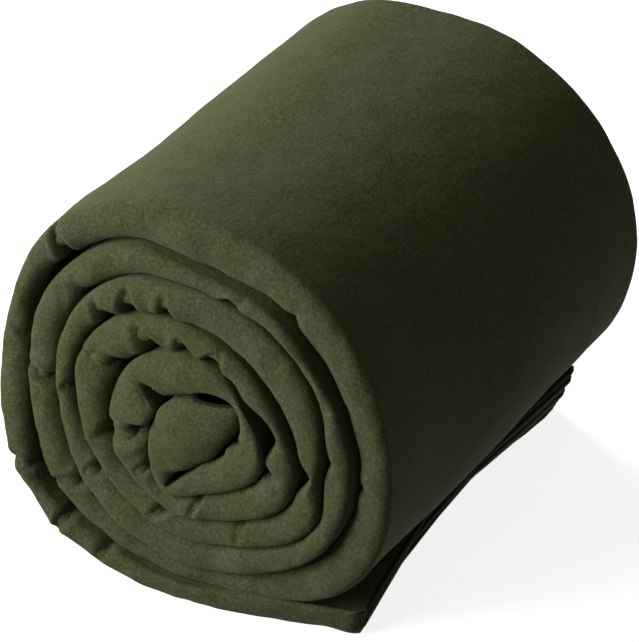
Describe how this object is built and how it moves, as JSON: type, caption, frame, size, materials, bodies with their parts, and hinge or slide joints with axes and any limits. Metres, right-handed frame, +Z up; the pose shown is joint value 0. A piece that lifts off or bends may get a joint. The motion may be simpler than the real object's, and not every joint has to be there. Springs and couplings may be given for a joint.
{
  "type": "camp blanket",
  "caption": "Folded and rolled camp blanket in olive-green short-napped cloth, with a free end that lifts off the ground.",
  "frame": {"origin": "centre of the bottom of the whole blanket as it stands, on the ground", "axes": "+Z up, +Y along the roll's axis from the fold-edge end to the raw-edge end, +X towards the free end of the strip"},
  "size_m": [0.2282, 0.256, 0.224],
  "materials": {
    "blanket_cloth": "short-napped wool-like fleece, matte, olive green",
    "edge_thread": "matte overlock thread, olive green",
    "label_cloth": "blank woven label, satin, undyed"
  },
  "bodies": {
    "roll": {"outer_turn": "blanket_cloth", "inner_turns": "blanket_cloth", "long_edge_stitching_outer": "edge_thread", "long_edge_stitching_inner": "edge_thread", "core_end_stitching": "edge_thread", "care_label": "label_cloth"},
    "free_end": {"free_end_flap": "blanket_cloth", "flap_edge_stitching": "edge_thread", "free_end_stitching": "edge_thread"}
  },
  "joints": [
    {"name": "free_end_lift", "type": "hinge", "parent": "roll", "child": "free_end", "pos_m": [0.04557, 0, 0.0161], "axis": [0, -1, 0], "range_deg": [0, 20]}
  ]
}
